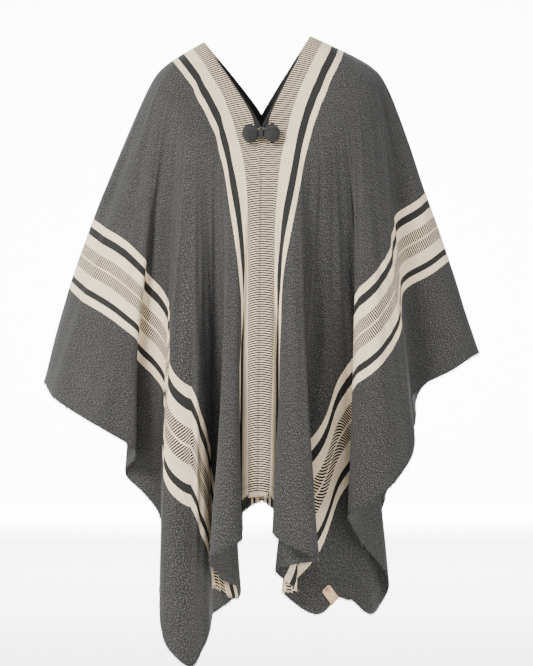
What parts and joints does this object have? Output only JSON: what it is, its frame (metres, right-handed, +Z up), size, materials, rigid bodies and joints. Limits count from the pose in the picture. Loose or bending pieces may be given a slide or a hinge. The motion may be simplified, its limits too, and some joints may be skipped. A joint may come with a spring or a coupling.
{
  "type": "andean poncho",
  "caption": "Woven wool poncho with an open front neck slit, toggle closure and striped side bands, hanging hollow in deep folds as worn.",
  "frame": {"origin": "on the shoulder line, midway across the neck opening, where the wearer's neck and shoulders hold the garment", "axes": "+Z up; the front with the slit and toggle faces -Y; +X is to the right as seen from the front"},
  "size_m": [0.7898, 0.3835, 1.1338],
  "materials": {
    "wool_twill": "charcoal heather wool twill with cream and grey woven stripes, matte and slightly hairy",
    "cream_yarn": "undyed cream wool yarn ends, matte",
    "wool_felt": "dark charcoal felted wool, matte",
    "wool_yarn": "dark wound wool yarn, matte",
    "tanned_leather": "plain vegetable-tanned leather, satin",
    "nickel_brass": "small dull nickel-plated cap, brushed"
  },
  "bodies": {
    "root": {"left_panel": "wool_twill", "right_panel": "wool_twill", "centre_fringe": "cream_yarn", "toggle_left": "wool_felt", "toggle_right": "wool_felt", "toggle_binding": "wool_yarn", "leather_tag": "tanned_leather", "tag_rivet": "nickel_brass"}
  },
  "joints": []
}
